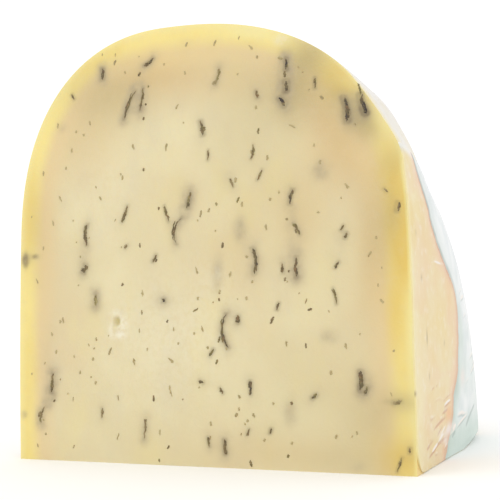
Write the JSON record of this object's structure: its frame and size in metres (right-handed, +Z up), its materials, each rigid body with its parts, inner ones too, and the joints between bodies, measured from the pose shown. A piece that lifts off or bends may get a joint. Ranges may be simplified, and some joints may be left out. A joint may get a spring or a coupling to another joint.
{
  "type": "spiced gouda cheese quarter",
  "caption": "Quarter of a small round-rimmed gouda wheel with herb shreds in its cut paste, standing on one cut face, with a thin printed label skin on one flank.",
  "frame": {"origin": "under the middle of the part, on the surface it stands on", "axes": "+Z up, the upright cut face with the herbs looks along -Y, the wheel's axis runs along X with the label on the +X flank"},
  "size_m": [0.1136, 0.1156, 0.1153],
  "materials": {
    "cheese": "satin cut paste with a smooth cream-yellow rind and dark herb shreds",
    "label": "thin printed label, peach field and pale border, soft sheen"
  },
  "bodies": {
    "root": {"cheese": "cheese", "label": "label"}
  },
  "joints": []
}
